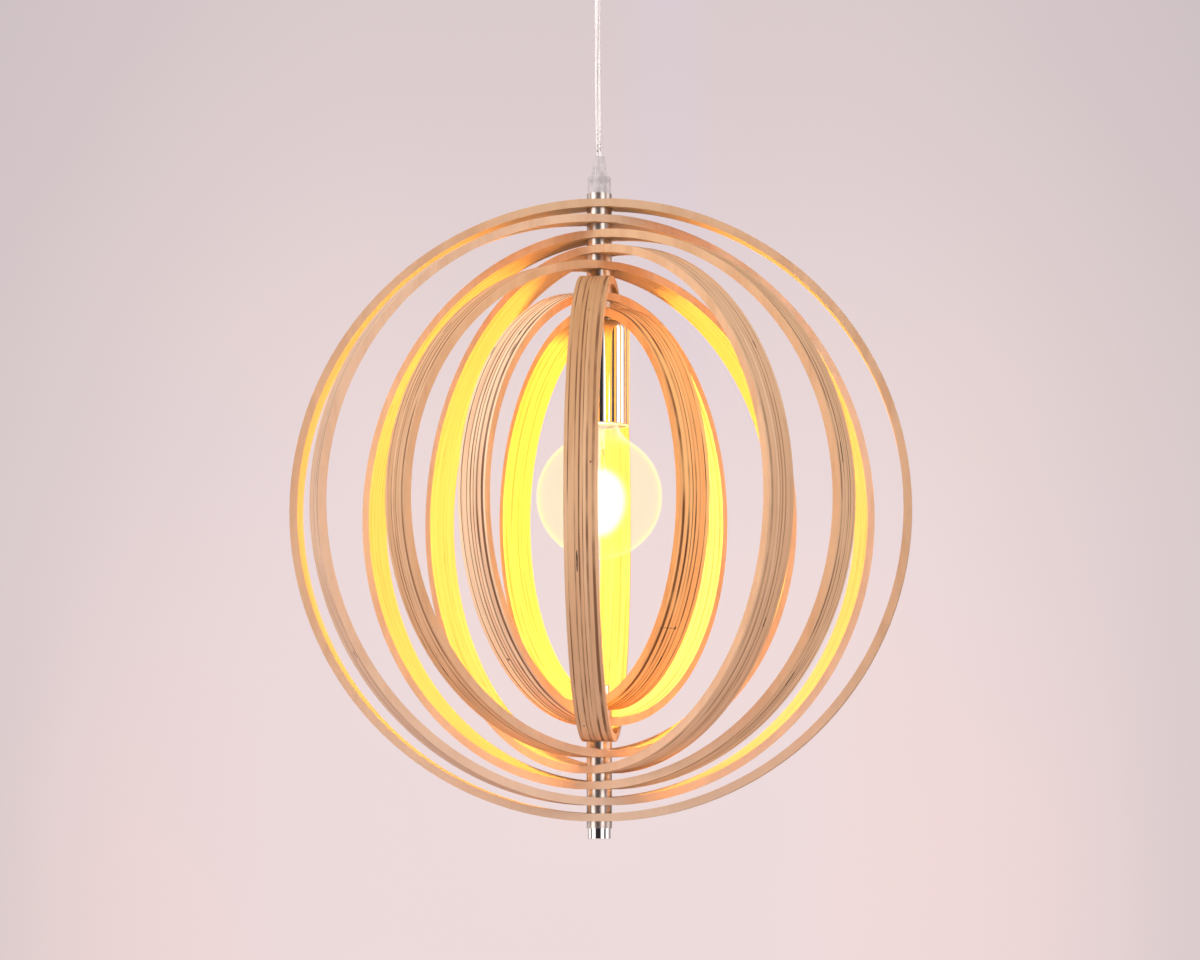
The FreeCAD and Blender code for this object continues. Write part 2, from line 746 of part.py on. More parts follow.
def socket_body():
    """The insulating body: a thick floor with a well for the leads and a bore for the screw shell."""
    mouth = SOCKET_BODY_TOP - SOCKET_LENGTH
    body = rod(SOCKET_RADIUS, mouth, SOCKET_BODY_TOP)
    bore = rod(socket_bore(), mouth - CUT_PAST, SOCKET_SEAT)
    well_radius = LEAD_CIRCLE + LEAD_RADIUS + CABLE_FIT
    well = rod(well_radius, SOCKET_BODY_TOP - LEAD_IN_SOCKET, SOCKET_BODY_TOP + CUT_PAST)
    return body.cut(Part.makeCompound([bore, well]))


def socket_leads():
    """Insulated leads from the cable's end down into the socket body's well."""
    low = SOCKET_BODY_TOP - LEAD_IN_SOCKET
    high = SOCKET_TOP - STEM_IN_SOCKET - CABLE_IN_SOCKET
    leads = []
    for count in range(POLE_COUNT):
        lead = rod(LEAD_RADIUS, low, high)
        lead.translate(lead_place(count))
        leads.append(lead)
    return Part.makeCompound(leads)


def screw_shell():
    """The threaded metal sleeve that takes the bulb's cap."""
    inner = CAP_RADIUS + SHELL_FIT
    return tube(inner + SHELL_WALL, inner, SOCKET_SEAT - SHELL_LENGTH, SOCKET_SEAT - SEAT_PLAY)


def centre_contact():
    """The sprung tongue: a foot on the socket's floor, a slope and a tip on the bulb."""
    foot = SOCKET_SEAT
    tip = SOCKET_SEAT - CONTACT_DROP
    half_tip = CONTACT_WIDTH / 4
    bend = CONTACT_REACH / 2
    outline = [
        (-CONTACT_REACH, foot),
        (-bend, foot),
        (-half_tip, tip + CONTACT_THICKNESS),
        (half_tip, tip + CONTACT_THICKNESS),
        (bend, foot - CONTACT_THICKNESS * 2),
        (bend, foot - CONTACT_THICKNESS * 3),
        (half_tip, tip),
        (-half_tip, tip),
        (-bend - CONTACT_THICKNESS, foot - CONTACT_THICKNESS),
        (-CONTACT_REACH, foot - CONTACT_THICKNESS),
    ]
    return extruded(outline, CONTACT_WIDTH)


# Bulb
def neck_join(radius, neck, fillet):
    """Centre height of the fillet between globe and neck, and where it leaves the globe."""
    reach = radius + fillet
    across_axis = neck + fillet
    height = math.sqrt(reach**2 - across_axis**2)
    share = radius / reach
    return height, (across_axis * share, height * share)


def envelope(radius, neck, fillet, top):
    """A closed solid of the globe with its neck, the globe's centre at height 0."""
    height, leave = neck_join(radius, neck, fillet)
    centre = (neck + fillet, height)
    start_angle = math.degrees(math.atan2(leave[1] - height, leave[0] - centre[0]))
    middle = quarter(centre, fillet, (start_angle + 360 + 180) / 2)
    return turned(
        (0, -radius),
        (radius, 0) + leave,
        middle + (neck, height),
        (neck, top),
        (0, top),
    )


def bulb_globe():
    """The blown glass: a globe that runs through a hollow fillet into the neck."""
    top = CAP_MOUTH + GLASS_IN_CAP - GLOBE_CENTRE
    outside = envelope(GLOBE_RADIUS, NECK_RADIUS, NECK_FILLET, top)
    inside = envelope(
        GLOBE_RADIUS - GLASS_WALL, NECK_RADIUS - GLASS_WALL, NECK_FILLET + GLASS_WALL, top + CUT_PAST
    )
    return lifted(outside.cut(inside), GLOBE_CENTRE)


def bulb_cap():
    """The thin metal screw cap on the neck, drawn in at its top for the insulator."""
    inner = CAP_RADIUS - CAP_WALL
    shoulder = CAP_TOP - INSULATOR_HEIGHT
    waist = (CAP_RADIUS + TIP_RADIUS) / 2
    return turned(
        (inner, CAP_MOUTH),
        (CAP_RADIUS, CAP_MOUTH),
        (CAP_RADIUS, shoulder),
        (waist, CAP_TOP),
        (waist - CAP_WALL, CAP_TOP),
        (inner, shoulder - CAP_WALL / 2),
    )


def bulb_insulator():
    """The dark glass between the screw cap and the tip contact."""
    waist = (CAP_RADIUS + TIP_RADIUS) / 2 - CAP_WALL - TOUCH_GAP
    return turned(
        (0, CAP_TOP - CAP_WALL),
        (waist, CAP_TOP - CAP_WALL),
        (waist, CAP_TOP),
        (TIP_RADIUS, BULB_TIP - TIP_HEIGHT),
        (0, BULB_TIP - TIP_HEIGHT),
    )


def bulb_tip():
    """The soldered contact at the end of the cap."""
    base = BULB_TIP - TIP_HEIGHT
    return turned((0, base), (TIP_RADIUS, base), (TIP_RADIUS / 2, BULB_TIP), (0, BULB_TIP))


def mount_top():
    return CAP_MOUTH + GLASS_IN_CAP - GLOBE_CENTRE


def mount_foot():
    """Height of the flat end of the glass mount above the globe's centre."""
    return mount_top() - FLARE_DROP - MOUNT_LENGTH


def button_height():
    return mount_foot() - MOUNT_ROD_LENGTH


def bulb_mount():
    """The glass stem inside the bulb: flare on the neck, thick tube, thin rod and button."""
    top = mount_top()
    flare = NECK_RADIUS - GLASS_WALL - TOUCH_GAP
    base = button_height()
    mount = turned(
        (0, top),
        (flare, top),
        (flare, top - GLASS_WALL),
        (MOUNT_RADIUS, top - FLARE_DROP),
        (MOUNT_RADIUS, mount_foot()),
        (MOUNT_ROD_RADIUS, mount_foot()),
        (MOUNT_ROD_RADIUS, base + BUTTON_RADIUS),
        (BUTTON_RADIUS, base),
        (MOUNT_ROD_RADIUS, base - BUTTON_RADIUS),
        (0, base - BUTTON_RADIUS),
    )
    return lifted(mount, GLOBE_CENTRE)


def filament_corner(count):
    """A corner of the filament, which hangs in straight spans round an open circle."""
    angle = math.radians(90 + (360 - FILAMENT_ARC) / 2 + FILAMENT_ARC / FILAMENT_SPANS * count)
    x = FILAMENT_CIRCLE * math.cos(angle)
    y = FILAMENT_CIRCLE * math.sin(angle)
    return Vector(x, y, FILAMENT_HEIGHT)


def bulb_filament():
    corners = [filament_corner(count) for count in range(FILAMENT_SPANS + 1)]
    return lifted(bent_wire(corners, FILAMENT_RADIUS), GLOBE_CENTRE)


def hook_height():
    """How far above the filament's line a wire that holds it ends."""
    return Vector(0, 0, FILAMENT_RADIUS + WIRE_RADIUS + TOUCH_GAP)


def bulb_lead_wires():
    """Two stiff wires from the mount's foot to the filament's ends."""
    middle = (MOUNT_RADIUS + MOUNT_ROD_RADIUS) / 2
    wires = []
    for side, count in ((-1, 0), (1, FILAMENT_SPANS)):
        start = Vector(side * middle, 0, mount_foot() - WIRE_RADIUS)
        wires.append(wire_between(start, filament_corner(count) + hook_height(), WIRE_RADIUS))
    return lifted(Part.makeCompound(wires), GLOBE_CENTRE)


def bulb_supports():
    """Fine wires from the button out to the filament's inner corners."""
    button = Vector(0, 0, button_height())
    wires = []
    for count in range(1, FILAMENT_SPANS):
        end = filament_corner(count) + hook_height()
        start = button + (end - button).normalize() * (BUTTON_RADIUS + WIRE_RADIUS + TOUCH_GAP)
        wires.append(wire_between(start, end, WIRE_RADIUS))
    return lifted(Part.makeCompound(wires), GLOBE_CENTRE)


def build():
    """Every node's name with its shape."""
    nodes = {
        "canopy": canopy(),
        "crossbar": crossbar(),
        "canopy_thumbscrews": thumbscrews(),
        "canopy_grip_body": canopy_grip_body(),
        "canopy_grip_nut": canopy_grip_nut(),
        "canopy_grip_collet": canopy_collet(),
        "canopy_grip_cap": canopy_grip_cap(),
        "terminal_block": terminal_block(),
        "terminal_clamps": terminal_clamps(),
        "terminal_screws": terminal_screws(),
        "canopy_leads": canopy_leads(),
        "cable_in_canopy": cable_in_canopy(),
        "cable": cable(),
        "cable_in_lamp": cable_in_lamp(),
        "lamp_grip_cap": lower_grip_cap(),
        "lamp_grip_collet": lower_collet(),
        "lamp_grip_body": grip_body(),
        "top_collar": top_collar(),
        "stem": stem(),
        "holder_nut": holder_nut(),
        "lampholder_cup": lampholder_cup(),
        "socket_cap": socket_cap(),
        "socket_body": socket_body(),
        "socket_leads": socket_leads(),
        "screw_shell": screw_shell(),
        "centre_contact": centre_contact(),
        "bulb_globe": bulb_globe(),
        "bulb_cap": bulb_cap(),
        "bulb_insulator": bulb_insulator(),
        "bulb_tip": bulb_tip(),
        "bulb_mount": bulb_mount(),
        "bulb_lead_wires": bulb_lead_wires(),
        "bulb_supports": bulb_supports(),
        "bulb_filament": bulb_filament(),
        "inner_cap_nut": inner_cap_nut(),
        "spindle": spindle(),
        "bottom_collar": bottom_collar(),
        "lower_cap_nut": lower_cap_nut(),
    }
    for index in range(len(RING_ANGLES)):
        nodes["ring_%d" % (index + 1)] = ring(index)
    for index in range(LAST_RING):
        nodes["top_spacer_%d" % (index + 1)] = top_spacer(index)
        nodes["bottom_spacer_%d" % (index + 1)] = bottom_spacer(index)
    return nodes


def main():
    os.makedirs("parts", exist_ok=True)
    for name, shape in build().items():
        shape.exportStep("parts/%s.step" % name)
    print("rings' centre at z %.2f mm, lowest point at z %.2f mm" % (CENTRE, LOWER_NUT_BASE))


main()
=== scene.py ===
import json
import math

import bmesh
import bpy
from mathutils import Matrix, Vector


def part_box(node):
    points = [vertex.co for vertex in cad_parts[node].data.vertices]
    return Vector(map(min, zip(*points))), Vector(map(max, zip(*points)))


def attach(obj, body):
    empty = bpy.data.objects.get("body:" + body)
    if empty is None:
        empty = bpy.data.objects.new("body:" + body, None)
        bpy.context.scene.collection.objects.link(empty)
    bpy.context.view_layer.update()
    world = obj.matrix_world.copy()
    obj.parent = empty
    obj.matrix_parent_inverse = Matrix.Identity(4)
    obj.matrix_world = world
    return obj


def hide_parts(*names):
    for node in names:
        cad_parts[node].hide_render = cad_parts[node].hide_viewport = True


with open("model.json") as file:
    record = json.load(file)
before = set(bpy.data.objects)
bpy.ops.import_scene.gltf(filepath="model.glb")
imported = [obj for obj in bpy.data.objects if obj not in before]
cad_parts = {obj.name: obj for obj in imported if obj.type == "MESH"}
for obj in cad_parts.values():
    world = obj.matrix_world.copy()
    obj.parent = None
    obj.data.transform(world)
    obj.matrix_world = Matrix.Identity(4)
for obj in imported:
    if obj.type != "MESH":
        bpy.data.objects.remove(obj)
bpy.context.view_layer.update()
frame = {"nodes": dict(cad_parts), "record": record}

# Sizes in metres, in the part's own frame: origin at the ceiling, -Y to the front
CENTRE = -0.4722
RING_ANGLES = (-5.8, 20.5, -31.8, -49.5, 38.0, 85.6, 56.0, -63.2)
OUTER_RING_RADIUS = 0.235
RING_PITCH = 0.0119
RING_WALL = 0.0062
BOARD = 0.024
FACE_DEPTH = 0.00004
PLIES = 7

# Each ring's wood, outermost first: how pale and how bright it is, how strongly and how evenly its joints
# show, and how much darker its top is. The brightness is partly each ring's own tone and partly painted
# bulb light, which lifts the two innermost rings most
RING_PALENESS = (0.65, 1.0, 0.6, 0.7, 0.6, 0.6, 0.9, 0.15)
RING_TONE_AND_PAINTED_LIGHT = (0.90, 1.1, 1.03, 1.05, 1.03, 1.08, 1.5, 1.45)
JOINT_STRENGTH = (0.8, 0.55, 0.85, 0.6, 0.8, 0.9, 1.0, 1.0)
JOINT_EVENNESS = (0.15, 0.1, 0.3, 0.2, 0.2, 0.2, 0.75, 0.3)
TOP_DARKENING = (0, 0, 0, 0, 0, 0.85, 0, 0.3)

# Wood as light, middle, brown streak and dark joint, from golden to washed out and pinkish
GOLDEN_WOOD = ((0.72, 0.43, 0.16), (0.60, 0.31, 0.10), (0.42, 0.19, 0.055), (0.13, 0.042, 0.013))
WASHED_WOOD = ((0.77, 0.55, 0.39), (0.65, 0.43, 0.28), (0.50, 0.30, 0.18), (0.19, 0.080, 0.032))
# The colour that darkens the top of some rings
DARK_TOP_WOOD = (0.48, 0.235, 0.085)
# Painted light on the lower part of the rings' faces
PAINTED_LIGHT_LOWER_FACE = (0.86, 0.66, 0.50)
GAP_SHADOW = (0.025, 0.012, 0.006)
# Painted light from the bulb on each ring's inner side, outermost first
BULB_LIT_INNER_SIDE = ((0.72, 0.50, 0.16),) * 6 + ((0.50, 0.33, 0.13),) * 2

# Gaps that stand out, by ring: angle round the ring in degrees from its right-hand side, depth in the
# board, half length and half width
GAPS = {
    5: ((14, -0.0095, 0.017, 0.0006), (3, 0.006, 0.012, 0.0004), (49, -0.0086, 0.009, 0.0007)),
    6: ((-163, 0.0029, 0.009, 0.0007), (174, -0.0072, 0.0007, 0.0007), (-110, 0.0066, 0.001, 0.0008),
        (-42, 0.0018, 0.007, 0.0006)),
    7: ((-134, 0.0028, 0.0015, 0.0008), (139, 0.0105, 0.006, 0.0004), (139, -0.0073, 0.008, 0.0004)),
    8: ((-39, 0.0018, 0.002, 0.0007), (-39, -0.004, 0.0003, 0.009)),
}

CHROME_TINT = (0.86, 0.85, 0.85)
CHROME_ROUGHNESS = 0.045
CUP_RADIUS = 0.023
CABLE_ROUTE = ((0, 0, -0.2035), (-0.0032, 0, -0.0828), (0, 0, -0.0475))
CABLE_DIAMETER = 0.0062

# The thread rolled into the bulb's cap and the socket's shell
THREAD_PITCH = 0.00362
THREAD_DEPTH = 0.0009
THREAD_SHEET = 0.0004

GLOBE_CENTRE = CENTRE + 0.009
GLOW_CENTRE = CENTRE + 0.0047
GLOW_RADIUS = 0.0285
GLOW_HALF_HEIGHT = 0.034
GLOW_FULLNESS = 0.06

# The photograph's viewpoint, the direction it was taken in and its lens in millimetres
CAMERA_PLACE = (0, -2.5586, CENTRE - 0.2175)
CAMERA_AIM = (0.0002, 0.99566, 0.09308)
CAMERA_LENS = 102.1
CAMERA_SENSOR = 36.0

# The rise of the line of sight, from which the backdrop's colours are placed
SIGHT_HEIGHT = 0.093

# Bright panels and dark gaps round the lamp, in degrees from the camera's side (0) by the right-hand side
# (90): where each starts and ends, and its strength
PANELS = ((-76, -42, 1), (18, 46, 1), (72, 104, 0.6), (-130, -94, 0.35))
DARK_GAPS = ((-36, 14, 1), (50, 62, 0.9), (-88, -79, 0.9))


class Value:
    """A socket of a node tree. Arithmetic on it adds Math nodes, and node() adds any other node."""

    def __init__(self, tree, socket=None):
        self.tree = tree
        self.socket = socket

    def node(self, kind, settings=None, sockets=None, output=0):
        made = self.tree.nodes.new(kind)
        for name, value in (settings or {}).items():
            setattr(made, name, value)
        for name, value in (sockets or {}).items():
            if isinstance(value, Value):
                self.tree.links.new(value.socket, made.inputs[name])
            else:
                made.inputs[name].default_value = value
        return Value(self.tree, made.outputs[output] if len(made.outputs) else None)

    def out(self, name):
        """Another output of the node that made this one."""
        return Value(self.tree, self.socket.node.outputs[name])

    def maths(self, operation, *numbers):
        return self.node("ShaderNodeMath", {"operation": operation}, dict(enumerate(numbers)))

    def __add__(self, other):
        return self.maths("ADD", self, other)

    def __radd__(self, other):
        return self.maths("ADD", other, self)

    def __sub__(self, other):
        return self.maths("SUBTRACT", self, other)

    def __rsub__(self, other):
        return self.maths("SUBTRACT", other, self)

    def __mul__(self, other):
        return self.maths("MULTIPLY", self, other)

    def __rmul__(self, other):
        return self.maths("MULTIPLY", other, self)

    def __truediv__(self, other):
        return self.maths("DIVIDE", self, other)

    def __pow__(self, other):
        return self.maths("POWER", self, other)

    def __gt__(self, other):
        return self.maths("GREATER_THAN", self, other)

    def __lt__(self, other):
        return self.maths("LESS_THAN", self, other)

    def size(self):
        return self.maths("ABSOLUTE", self)

    def sine(self):
        return self.maths("SINE", self)

    def greatest(self, other):
        return self.maths("MAXIMUM", self, other)

    def rest(self):
        return self.maths("FRACT", self)

    def floor(self):
        return self.maths("FLOOR", self)

    def ramp(self, low, high):
        """0 below low, 1 above high, smooth between."""
        settings = {"interpolation_type": "SMOOTHSTEP"}
        return self.node("ShaderNodeMapRange", settings, {"Value": self, "From Min": low, "From Max": high})


def mixed(first, second, share):
    """A colour between two, each a tuple or a Value. The node's colours are its sockets 6 and 7."""
    sockets = {"Factor": share, 6: full(first), 7: full(second)}
    start = share if isinstance(share, Value) else first
    return start.node("ShaderNodeMix", {"data_type": "RGBA"}, sockets, 2)


def full(colour):
    """A colour with its alpha, for a socket."""
    return colour if isinstance(colour, Value) else (*colour, 1)


def vector(x, y, z):
    """A vector from three numbers, at least one of them a Value."""
    start = next(part for part in (x, y, z) if isinstance(part, Value))
    return start.node("ShaderNodeCombineXYZ", None, {0: x, 1: y, 2: z})


def axes(place):
    """The x, y and z of a vector."""
    return [place.node("ShaderNodeSeparateXYZ", None, {0: place}, axis) for axis in range(3)]


def noise(place, scale, detail=3.0, roughness=0.55):
    sockets = {"Vector": place, "Scale": scale, "Detail": detail, "Roughness": roughness}
    return place.node("ShaderNodeTexNoise", None, sockets)


def new_material(name):
    """An empty material and the first Value of its tree."""
    material = bpy.data.materials.new(name)
    material.use_nodes = True
    material.node_tree.nodes.clear()
    return material, Value(material.node_tree)


def finish_with(start, shader):
    """Makes a shader the surface of its material."""
    start.node("ShaderNodeOutputMaterial", None, {"Surface": shader})


def principled(start, **sockets):
    names = {name.replace("_", " "): value for name, value in sockets.items()}
    return start.node("ShaderNodeBsdfPrincipled", None, names)


def object_place(start, turn=0.0, lift=0.0):
    """Object coordinates, turned about Z and lifted, as (vector, x, y, z)."""
    place = start.node("ShaderNodeTexCoord", None, None, 3)
    sockets = {"Vector": place, "Location": (0, 0, lift), "Rotation": (0, 0, turn)}
    place = place.node("ShaderNodeMapping", None, sockets)
    return place, *axes(place)


def bumped(height, strength, distance):
    sockets = {"Height": height, "Strength": strength, "Distance": distance}
    return height.node("ShaderNodeBump", None, sockets)


def edge_on(start):
    """Near 0 where the surface faces the viewer, and 1 where it is seen edge on."""
    return start.node("ShaderNodeLayerWeight", None, {"Blend": 0.5}, 1)


# Plywood
def plywood(index):
    """Bare birch plywood for one ring: its plies' edges on the curved sides, a veneer on the faces."""
    material, start = new_material("plywood_ring_%d" % (index + 1))
    along, across, up = object_place(start, -math.radians(RING_ANGLES[index]), -CENTRE)[1:]
    seed = 3.7 * index
    wander = noise(vector(along * 7 + seed, across * 25, up * 7), 1.0, 2.0) - 0.5
    fibre = noise(vector(along * 220, across * 2400, up * 220), 1.0, 3.0, 0.65)
    curved, grain, end_grain = curved_sides(index, (along, across, up), seed, wander, fibre)
    face, pore = veneer(index, along, up, seed, wander)
    on_face = across.size() > BOARD / 2 - FACE_DEPTH
    relief = grain * (1 - on_face) + pore * on_face * 0.08
    rough = 0.48 + fibre * 0.2 + end_grain * (1 - on_face) * 0.08
    finish_with(
        start,
        principled(start, Base_Color=mixed(curved, face, on_face), Roughness=rough, Specular_IOR_Level=0.28,
                   Normal=bumped(relief, 0.35, 0.0004)),
    )
    return material


def curved_sides(index, spot, seed, wander, fibre):
    """Colour, grain and end grain of a ring's curved sides. The plies lie across the ring's thickness, so
    they show as lines. Every second ply is turned, and a ply is darker where its end grain shows."""
    along, across, up = spot
    radius = (along * along + up * up) ** 0.5
    inner = radius < OUTER_RING_RADIUS - RING_PITCH * index - RING_WALL / 2

    # Uneven plies that wander a little along the ring
    depth = across / BOARD + 0.5 + wander * 0.06
    layer = depth * PLIES + (depth * 11 + 1).sine() * 0.24 + (depth * 29).sine() * 0.09
    ply = layer.floor()
    joint = (layer + 0.5).floor()
    turned = (ply * 0.5).rest() * 2
    side_grain = (along / radius) ** 2
    end_grain = turned * side_grain + (1 - turned) * (1 - side_grain)

    # Each ply's own tone, with brown stains and streaks, and darker towards the top of some rings
    light, mid, brown, dark = wood_colours(RING_PALENESS[index], RING_TONE_AND_PAINTED_LIGHT[index])
    ply_tone = noise(vector(along * 3 + ply * 7.7, ply * 4.1 + seed, up * 3), 1.0, 2.0)
    stain = noise(vector(along * 9 + seed, across * 130, up * 9), 1.0, 3.0)
    streak = noise(vector(along * 16, across * 800 + seed, up * 16), 1.0, 4.0, 0.62)
    colour = mixed(light, mid, ply_tone.ramp(0.38, 0.62) * 0.65 + end_grain * 0.2)
    colour = mixed(colour, brown, stain.ramp(0.5, 0.75) * 0.4)
    colour = mixed(colour, brown, streak.ramp(0.52, 0.78) * 0.6 * (1 - inner * 0.6))
    # Darker towards the top of the ring, set by height alone
    darker_top = up.ramp(-0.03, 0.13) * TOP_DARKENING[index] * (0.5 + stain * 0.7)
    colour = mixed(colour, DARK_TOP_WOOD, darker_top)

    # Dark joints of uneven width
    joint_tone = noise(vector(along * 11 + joint * 5.3, joint * 3.1 + seed, up * 11), 1.0, 3.0)
    even = JOINT_EVENNESS[index]
    width = 0.08 + 0.02 * even + joint_tone * (0.26 - 0.08 * even)
    near_joint = 1 - (layer - joint).size().ramp(width * 0.35, width)
    line = near_joint * (even + joint_tone.ramp(0.40, 0.58) * (1 - even)) * JOINT_STRENGTH[index]
    colour = mixed(colour, dark, line * (1 - inner * 0.3))

    # Saw marks on the outer side, and painted bulb light on the inner side
    angle = up.maths("ARCTAN2", up, along)
    saw = (angle * 520 + across * 2400).sine().ramp(0.2, 1.0)
    colour = mixed(colour, brown, saw * stain.ramp(0.35, 0.6) * 0.22 * (1 - inner))
    colour = mixed(colour, BULB_LIT_INNER_SIDE[index], inner * 0.5)

    gap = gaps(index, spot, seed, joint, near_joint) * (1 - inner * 0.8)
    colour = mixed(colour, GAP_SHADOW, gap * (0.5 + fibre.ramp(0.3, 0.5) * 0.45))
    grain = streak * 0.6 + fibre * 0.4 - near_joint * 0.4 - gap * 1.5
    return colour, grain, end_grain


def gaps(index, spot, seed, joint, near_joint):
    """Gaps in the crossing plies: some by chance, and those that stand out at their own places."""
    along, across, up = spot
    chance = noise(vector(along * 30 + seed, joint * 9.1, up * 30), 1.0, 1.0)
    gap = chance.ramp(0.715, 0.73) * near_joint
    for at_angle, at_depth, half_length, half_width in GAPS.get(index + 1, ()):
        gap = gap.greatest(gap_at(spot, math.radians(at_angle), at_depth, half_length, half_width))
    return gap


def gap_at(spot, angle, depth, half_length, half_width):
    """An oval gap at an angle round the ring and a depth in the board, with soft sides."""
    along, across, up = spot
    outwards = along * math.cos(angle) + up * math.sin(angle)
    sideways = up * math.cos(angle) - along * math.sin(angle)
    reach = (sideways / half_length) ** 2 + ((across - depth) / half_width) ** 2
    return (1 - reach.ramp(0.6, 1.0)) * (outwards > 0)


def veneer(index, along, up, seed, wander):
    """Colour and pores of the board's two faces: one veneer with its figure along the grain, and painted
    light that makes the faces paler towards the bottom.
    """
    bright = RING_TONE_AND_PAINTED_LIGHT[index]
    light, mid, brown = wood_colours(RING_PALENESS[index] * (2 - bright), min(bright, 1.05))[:3]
    figure = noise(vector(along * 60 + wander * 2, seed, up * 7), 1.0, 5.0, 0.6)
    pore = noise(vector(along * 900, seed, up * 60), 1.0, 2.0)
    colour = mixed(light, mid, figure.ramp(0.35, 0.72) * 0.8)
    colour = mixed(colour, brown, pore.ramp(0.62, 0.8) * 0.4)
    # Painted light: the faces turn paler towards the bottom
    colour = mixed(colour, PAINTED_LIGHT_LOWER_FACE, (0 - up).ramp(0.08, 0.22) * 0.55)
    return colour, pore


def wood_colours(pale, bright):
    """The wood's four colours, golden at 0 and washed out at 1. Brightness, partly painted bulb light,
    lifts its light and middle.
    """
    shares = (bright, bright, (bright + 1) / 2, 1)
    return [
        tuple(min(1.0, (first + (second - first) * pale) * share) for first, second in zip(*pair))
        for share, *pair in zip(shares, GOLDEN_WOOD, WASHED_WOOD)
    ]


# Metal
def chrome(name, tint=CHROME_TINT, rough=CHROME_ROUGHNESS, wear=0.02):
    """Plated metal with a faint haze and fingerprints that only change its gloss."""
    material, start = new_material(name)
    place = object_place(start)[0]
    haze = noise(place, 160.0, 4.0, 0.6)
    smear = noise(place, 45.0, 2.0)
    roughness = rough + haze.ramp(0.45, 0.75) * wear + smear.ramp(0.5, 0.8) * wear
    finish_with(start, principled(start, Base_Color=(*tint, 1), Metallic=1.0, Roughness=roughness))
    return material


def cup_chrome(name):
    """Chrome on the cup's straight outer side. Its inside, shoulder and rim are duller."""
    material, start = new_material(name)
    place, x, y, z = object_place(start)
    haze = noise(place, 160.0, 4.0, 0.6)
    dull = (x * x + y * y) ** 0.5 < CUP_RADIUS - 0.0003
    roughness = CHROME_ROUGHNESS + haze.ramp(0.45, 0.75) * 0.02 + dull * 0.45
    colour = mixed(CHROME_TINT, (0.74, 0.72, 0.70), dull)
    finish_with(start, principled(start, Base_Color=colour, Metallic=1.0, Roughness=roughness))
    return material


def satin_steel(name):
    """Turned steel: soft reflections, with fine marks that run round the piece."""
    material, start = new_material(name)
    place, x, y, z = object_place(start)
    tool = noise(vector(x * 40, y * 40, z * 4200), 1.0, 2.0)
    smear = noise(place, 90.0, 2.0)
    colour = mixed((0.62, 0.55, 0.50), (0.50, 0.43, 0.39), smear.ramp(0.35, 0.65))
    finish_with(
        start,
        principled(start, Base_Color=colour, Metallic=1.0, Roughness=0.24 + tool * 0.12,
                   Normal=bumped(tool, 0.12, 0.0001)),
    )
    return material


def zinc(name):
    """Plated steel with a zinc coat's fine spangle."""
    material, start = new_material(name)
    spangle = noise(object_place(start)[0], 420.0, 3.0)
    colour = mixed((0.55, 0.56, 0.57), (0.72, 0.73, 0.75), spangle.ramp(0.35, 0.65))
    finish_with(
        start,
        principled(start, Base_Color=colour, Metallic=1.0, Roughness=0.28 + spangle * 0.16,
                   Normal=bumped(spangle, 0.15, 0.0002)),
    )
    return material


def brass(name):
    """Brass with brown tarnish in patches."""
    material, start = new_material(name)
    tarnish = noise(object_place(start)[0], 240.0, 3.0)
    colour = mixed((0.83, 0.62, 0.28), (0.55, 0.37, 0.15), tarnish.ramp(0.45, 0.75) * 0.6)
    finish_with(start, principled(start, Base_Color=colour, Metallic=1.0, Roughness=0.22 + tarnish * 0.2))
    return material


# Plastics
def clear_plastic(name):
    """Moulded clear plastic, a little milky, with faint flow lines. Its edges have painted shade, darker
    and less see-through where it is seen edge on.
    """
    material, start = new_material(name)
    place, x, y, z = object_place(start)
    flow = noise(vector(x * 240, y * 240, z * 90), 1.0, 3.0)
    edge = edge_on(start)
    colour = mixed((0.74, 0.71, 0.73), (0.88, 0.85, 0.87), flow.ramp(0.35, 0.65))
    # Painted shade: darker where the surface is seen edge on
    colour = mixed(colour, (0.50, 0.46, 0.48), edge.ramp(0.4, 0.95) * 0.7)
    finish_with(
        start,
        principled(start, Base_Color=colour, Roughness=0.16 + flow * 0.12,
                   Alpha=0.42 + flow.ramp(0.4, 0.6) * 0.08 + edge.ramp(0.3, 0.95) * 0.4),
    )
    return material


def moulded(name, colour, rough=0.45):
    """Opaque plastic or glass with a fine mould texture and slightly darker clouds."""
    material, start = new_material(name)
    place = object_place(start)[0]
    fine = noise(place, 900.0, 3.0)
    cloud = noise(place, 80.0, 2.0)
    darker = tuple(part * 0.8 for part in colour)
    colour = mixed(colour, darker, cloud.ramp(0.4, 0.7))
    finish_with(
        start,
        principled(start, Base_Color=colour, Roughness=rough + fine * 0.12,
                   Normal=bumped(fine, 0.1, 0.0001)),
    )
    return material


def lead_colours(name):
    """Brown on the left, green with yellow in the middle and blue on the right."""
    material, start = new_material(name)
    place, x, y, z = object_place(start)
    middle_half = 0.0012
    stripe = (z * 260 + y * 300).rest() > 0.5
    earth = mixed((0.05, 0.22, 0.05), (0.75, 0.6, 0.06), stripe)
    left = mixed(earth, (0.16, 0.07, 0.03), x < -middle_half)
    colour = mixed(left, (0.04, 0.13, 0.42), x > middle_half)
    fine = noise(place, 700.0, 2.0)
    finish_with(start, principled(start, Base_Color=colour, Roughness=0.3 + fine * 0.15))
    return material


def cable_sheath(name):
    """Clear sheath: mostly see-through, with a painted sheen along its edges."""
    material, start = new_material(name)
    place, x, y, z = object_place(start)
    ripple = noise(vector(x * 60, y * 60, z * 110), 1.0, 2.0)
    finish_with(
        start,
        principled(start, Base_Color=(0.80, 0.77, 0.79, 1), Roughness=0.07 + ripple * 0.06,
                   # Painted sheen: more of the pale colour where the sheath is seen edge on
                   Alpha=0.04 + edge_on(start).ramp(0.45, 0.95) * 0.22,
                   Normal=bumped(ripple, 0.2, 0.0005)),
    )
    return material


